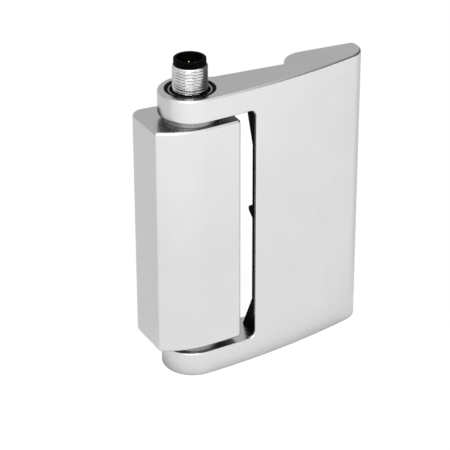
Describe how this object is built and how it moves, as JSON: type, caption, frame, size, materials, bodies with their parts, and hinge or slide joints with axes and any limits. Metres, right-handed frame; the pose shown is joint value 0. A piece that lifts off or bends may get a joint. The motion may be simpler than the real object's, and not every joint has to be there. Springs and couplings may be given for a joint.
{
  "type": "safety hinge switch",
  "caption": "Hinge whose fixed knuckle is a switch housing: a leaf with an upper and a lower arm turns round it, and a round threaded plug stands on the pivot axis.",
  "frame": {"origin": "midway between the housing's two mounting screws, on the mounting plane", "axes": "+Z along the pivot towards the plug, +Y out of the back towards the post and the door, +X from the housing towards the leaf's far end"},
  "size_m": [0.0844, 0.0245, 0.116],
  "materials": {
    "cast_housing": "fine silver-grey powder coat on a casting",
    "cast_leaf": "fine silver-grey powder coat on a casting",
    "black_moulding": "moulded, lightly textured",
    "black_screw": "black oxide",
    "cover_plate": "plain anodised plate",
    "black_rubber": "smooth",
    "steel_screw": "zinc plated",
    "pivot_steel": "turned",
    "bush_plastic": "turned bearing plastic",
    "washer_grey": "smooth bearing plastic",
    "plug_metal": "bright nickel plating",
    "plug_insert": "moulded",
    "pin_metal": "gold plated",
    "lead_insulation": "smooth insulation",
    "cam_plastic": "natural bearing plastic",
    "block_plastic": "moulded",
    "contact_brass": "stamped",
    "spring_steel": "drawn wire",
    "board_laminate": "coated laminate"
  },
  "bodies": {
    "housing": {"switch_housing": "cast_housing", "housing_cover": "cover_plate", "cover_gasket": "black_rubber", "cover_screws": "steel_screw", "pivot_tube": "pivot_steel", "upper_thrust_washer": "washer_grey", "lower_bush": "bush_plastic", "connector_shell": "plug_metal", "connector_insert": "plug_insert", "connector_pins": "pin_metal", "connector_leads": "lead_insulation", "connector_seal": "black_rubber", "terminal_board": "board_laminate", "contact_block": "block_plastic", "contact_block_lid": "block_plastic", "fixed_contacts": "contact_brass", "return_spring": "spring_steel"},
    "leaf": {"hinge_leaf": "cast_leaf", "leaf_cover": "black_moulding", "leaf_cover_screws": "black_screw", "upper_bush": "bush_plastic", "lower_thrust_washer": "washer_grey", "pivot_pin": "pivot_steel", "pin_seal": "black_rubber", "pin_set_screw": "black_screw", "pin_cap": "black_moulding", "switch_cam": "cam_plastic"},
    "plunger": {"plunger": "cam_plastic", "nc_bridge": "contact_brass", "no_bridge": "contact_brass"}
  },
  "joints": [
    {"name": "leaf_swing", "type": "hinge", "parent": "housing", "child": "leaf", "pos_m": [0.0098, -0.0134, 0], "axis": [0, 0, -1], "range_deg": [0, 180]},
    {"name": "plunger_travel", "type": "slide", "parent": "housing", "child": "plunger", "axis": [0, 0, 1], "range_m": [0, 0.0017], "stiffness_N_per_m": 300, "springref_m": -0.004, "deforming": ["return_spring"]}
  ]
}
